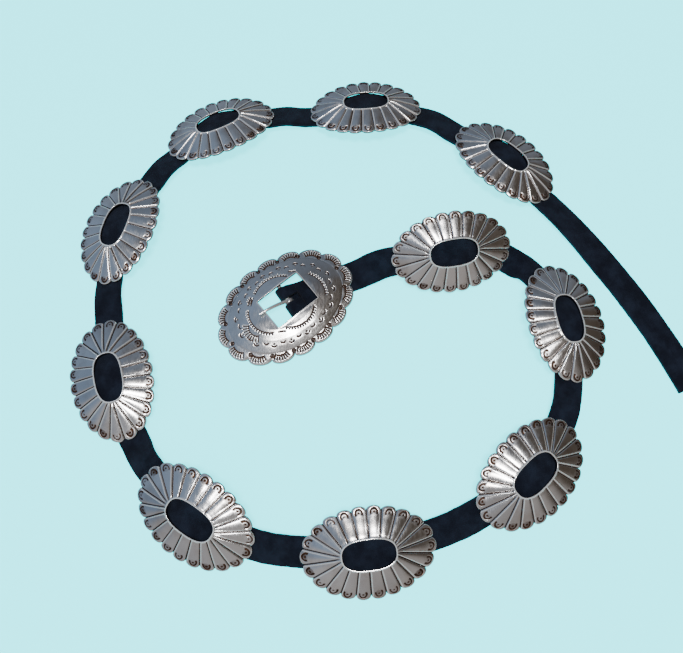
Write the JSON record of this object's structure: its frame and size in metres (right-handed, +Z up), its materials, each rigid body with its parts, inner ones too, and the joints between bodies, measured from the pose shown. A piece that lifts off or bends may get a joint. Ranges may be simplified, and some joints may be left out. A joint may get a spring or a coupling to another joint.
{
  "type": "concho belt",
  "caption": "Suede strap lying in a loose coil, with scalloped oval silver conchos threaded on it and a stamped oval buckle with a hinged tongue.",
  "frame": {"origin": "middle of the belt's footprint, on the surface that it lies on", "axes": "+Z up, +X along the longer side of the coil, towards the free end of the strap"},
  "size_m": [0.3562, 0.3082, 0.0262],
  "materials": {
    "suede": "black suede with a short nap",
    "silver": "stamped silver, polished on the high places and tarnished brown in the stamps and grooves"
  },
  "bodies": {
    "belt": {"strap": "suede", "concho_01": "silver", "concho_02": "silver", "concho_03": "silver", "concho_04": "silver", "concho_05": "silver", "concho_06": "silver", "concho_07": "silver", "concho_08": "silver", "concho_09": "silver", "concho_10": "silver", "buckle": "silver"},
    "tongue": {"tongue": "silver"}
  },
  "joints": [
    {"name": "tongue_pivot", "type": "hinge", "parent": "belt", "child": "tongue", "pos_m": [-0.05367, 0.00393, 0.00393], "axis": [-0.5664, 0.8241, 0], "range_deg": [0, 105]}
  ]
}
